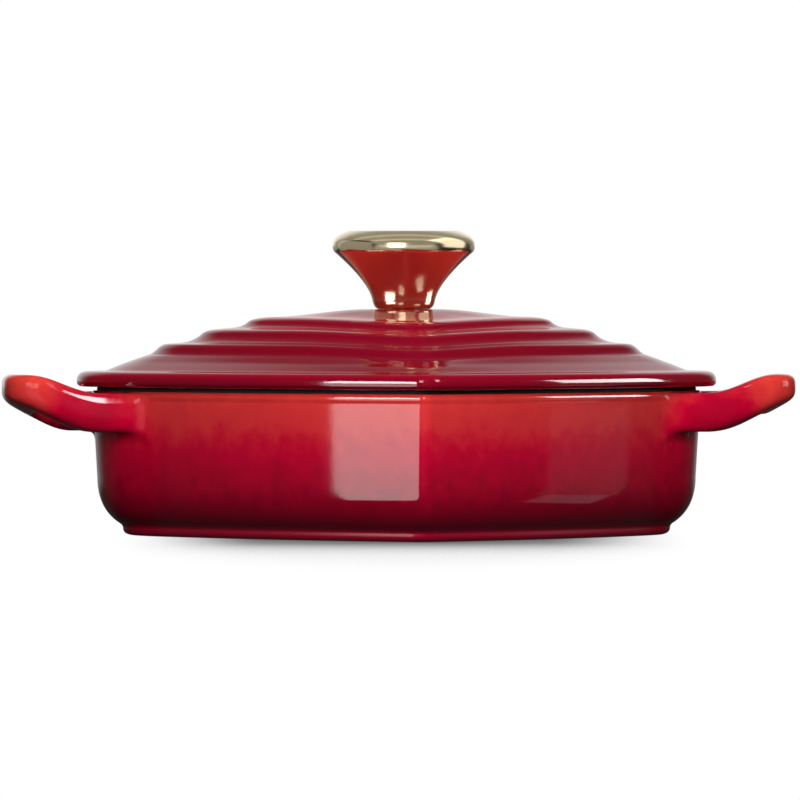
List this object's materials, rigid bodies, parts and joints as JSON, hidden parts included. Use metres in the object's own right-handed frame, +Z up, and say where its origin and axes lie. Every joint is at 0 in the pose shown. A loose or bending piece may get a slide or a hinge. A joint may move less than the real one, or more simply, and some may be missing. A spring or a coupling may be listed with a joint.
{
  "type": "heart-shaped casserole",
  "caption": "Shallow heart-shaped enamelled cast-iron casserole with cast loop handles and a stepped, lift-off heart lid with a turned metal knob.",
  "frame": {"origin": "bottom centre of the whole object, on the surface that the foot stands on, midway along the lid's length", "axes": "+X along the handles, +Y from the point of the heart to its lobes, +Z up"},
  "size_m": [0.2624, 0.1836, 0.1007],
  "materials": {
    "pot_enamel": "glossy red vitreous enamel, shaded from orange red at the rim to dark red at the foot",
    "lid_enamel": "glossy crimson vitreous enamel",
    "knob_gold": "polished pale gold",
    "fastener_steel": "plain stainless steel"
  },
  "bodies": {
    "pot": {"pot": "pot_enamel"},
    "lid": {"lid": "lid_enamel", "knob": "knob_gold", "knob_screw": "fastener_steel", "screw_washer": "fastener_steel"}
  },
  "joints": [
    {"name": "lid_lift", "type": "slide", "parent": "pot", "child": "lid", "axis": [0, 0, 1], "range_m": [0, 0.12]}
  ]
}
